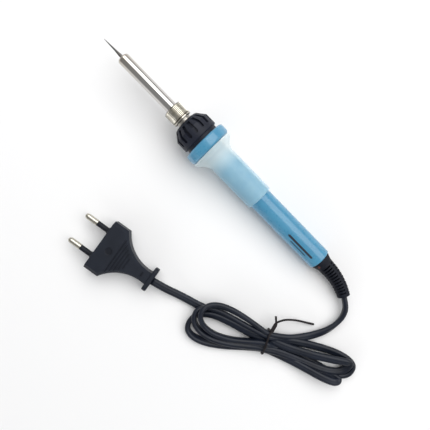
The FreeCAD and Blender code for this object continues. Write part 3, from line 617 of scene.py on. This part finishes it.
def make_cord(looks):
    """The flat cord from the boot to the plug, and the path that it follows."""
    route = cord_route()
    path = nurbs([point for point, roll in route])
    # a spline through the rolls, read at the same places as the path
    rolls = [value.x for value in nurbs([(roll, 0, 0) for point, roll in route])]
    across = []
    for way, roll in zip(ways_along(path), rolls):
        level = way.cross(UP).normalized()
        over = level.cross(way)
        turn = math.radians(roll)
        across.append(level * math.cos(turn) + over * math.sin(turn))
    build = bmesh.new()
    sweep(build, path, flat_section(CORD_WIDTH, CORD_THICK), across)
    cord = new_object("cord", build, looks["cord_jacket"], "handle")
    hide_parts("cord_lead", "cord_hank", "cord_tail")
    return cord, path


# ==== the wire tie =====================================================================================
def make_tie(looks):
    """One wire: short end, twist, round the waist, twist, long end."""
    way = (TWIST_TO - TWIST_FROM).normalized()
    side = way.cross(UP).normalized()
    over = side.cross(way)

    def twisted(share, phase):
        angle = 2 * math.pi * TWIST_TURNS * share + phase
        outward = side * math.cos(angle) + over * math.sin(angle)
        return TWIST_FROM.lerp(TWIST_TO, share) + outward * TIE_R * TWIST_SPACING

    shares = [k / TWIST_STEPS for k in range(TWIST_STEPS + 1)]
    route = [Vector(point) * MM for point in reversed(TIE_SHORT_END)]
    route += [twisted(1 - share, math.pi) for share in shares]
    for k, (across, height) in enumerate(TIE_RING):
        from_middle = abs(2 * k / (len(TIE_RING) - 1) - 1)
        along = TIE_RING_MIDDLE + (TIE_RING_ENDS - TIE_RING_MIDDLE) * from_middle
        route.append(on_hank(along, across, height))
    route += [twisted(share, 0) for share in shares]
    route += [Vector(point) * MM for point in TIE_LONG_END]
    path = nurbs(route, resolution=8)
    build = bmesh.new()
    sweep(build, path, circle_section(TIE_R, TIE_SIDES), steady_sides(path))
    tie = new_object("tie_wire", build, looks["tie_plastic"], "handle")
    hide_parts("twist_tie")
    return tie


# ==== the print on the handle: plain bars ===============================================================
def wrap_bar(build, start, end, middle, half_width):
    """A bar with round ends on the tube, from start to end along the iron, round its side at an angle."""
    grid = []
    for i in range(PRINT_COLUMNS + 1):
        s = start + (end - start) * i / PRINT_COLUMNS
        closeness = min(s - start, end - s)
        reach = half_width
        if closeness < half_width:
            reach = math.sqrt(max(half_width ** 2 - (half_width - closeness) ** 2, PRINT_END ** 2))
        row = []
        for j in range(PRINT_ROWS + 1):
            angle = middle + reach * (2 * j / PRINT_ROWS - 1) / TUBE_R
            outward = ASIDE * math.cos(angle) + ABOVE * math.sin(angle)
            row.append(build.verts.new(TIP_POINT + AXIS * s + outward * (TUBE_R + PRINT_LIFT)))
        grid.append(row)
    for first, second in zip(grid, grid[1:]):
        for j in range(PRINT_ROWS):
            build.faces.new((first[j], second[j], second[j + 1], first[j + 1]))


def make_print():
    """Two plain dark bars where the handle carries its printing."""
    build = bmesh.new()
    for bar in PRINT_BARS:
        wrap_bar(build, *bar)
    ink = moulded("print_ink", srgb(40, 46, 56), 0.5).material
    bars = new_object("print_bars", build, ink, "handle")


# ==== stage ============================================================================================
def make_stage():
    """A plain pale floor."""
    build = bmesh.new()
    corners = [(x * FLOOR_HALF, y * FLOOR_HALF, 0) for x, y in ((-1, -1), (1, -1), (1, 1), (-1, 1))]
    build.faces.new([build.verts.new(corner) for corner in corners])
    mesh = bpy.data.meshes.new("floor")
    build.to_mesh(mesh)
    build.free()
    floor = bpy.data.objects.new("floor", mesh)
    floor.location.z = FLOOR_Z
    bpy.context.scene.collection.objects.link(floor)
    shader = Shader("floor", Base_Color=FLOOR_GREY, Roughness=0.9, Specular_IOR_Level=0.1)
    floor.data.materials.append(shader.material)


def area_light(name, place, aim, size, power, colour):
    """A rectangular light at a place, turned towards its aim."""
    light = bpy.data.lights.new(name, "AREA")
    light.shape = "RECTANGLE"
    light.size, light.size_y = size
    light.energy = power
    light.color = colour
    holder = bpy.data.objects.new(name, light)
    holder.location = place
    holder.rotation_euler = (Vector(aim) - Vector(place)).to_track_quat("-Z", "Y").to_euler()
    bpy.context.scene.collection.objects.link(holder)
    return holder


def make_sky():
    """Grey surroundings, paler near the horizon, as the walls of a light tent are."""
    world = bpy.data.worlds.new("studio")
    world.use_nodes = True
    nodes = world.node_tree.nodes
    links = world.node_tree.links
    background = nodes["Background"]
    background.inputs["Strength"].default_value = 1.0
    direction = nodes.new("ShaderNodeTexCoord")
    split = nodes.new("ShaderNodeSeparateXYZ")
    ramp = nodes.new("ShaderNodeValToRGB")
    for element, (height, grey) in zip(ramp.color_ramp.elements, SKY):
        element.position = height
        element.color = (*(grey * share for share in SKY_TINT), 1)
    links.new(direction.outputs["Generated"], split.inputs["Vector"])
    links.new(split.outputs["Z"], ramp.inputs["Fac"])
    links.new(ramp.outputs["Color"], background.inputs["Color"])
    bpy.context.scene.world = world


def make_lights():
    """A large soft light above, and a low fill that no polished part reflects."""
    area_light("softbox", **SOFTBOX)
    fill = area_light("fill", **FILL)
    fill.visible_glossy = False


def make_camera():
    """Looks straight down, turned so that the iron lies along the frame's diagonal."""
    lens = bpy.data.cameras.new("camera")
    lens.sensor_width = SENSOR_WIDTH_MM
    lens.lens = FOCAL_LENGTH_MM
    lens.clip_start = NEAREST_SEEN
    camera = bpy.data.objects.new("camera", lens)
    camera.location = CAMERA_PLACE
    camera.rotation_euler = (0, 0, CAMERA_TURN)
    bpy.context.scene.collection.objects.link(camera)
    bpy.context.scene.camera = camera


# ==== all of it ========================================================================================
LOOKS = materials()
dress_nodes(LOOKS)
CORD, PATH = make_cord(LOOKS)
TIE = make_tie(LOOKS)
make_print()
make_stage()
make_sky()
make_lights()
make_camera()
bpy.context.scene.view_settings.view_transform = "Standard"
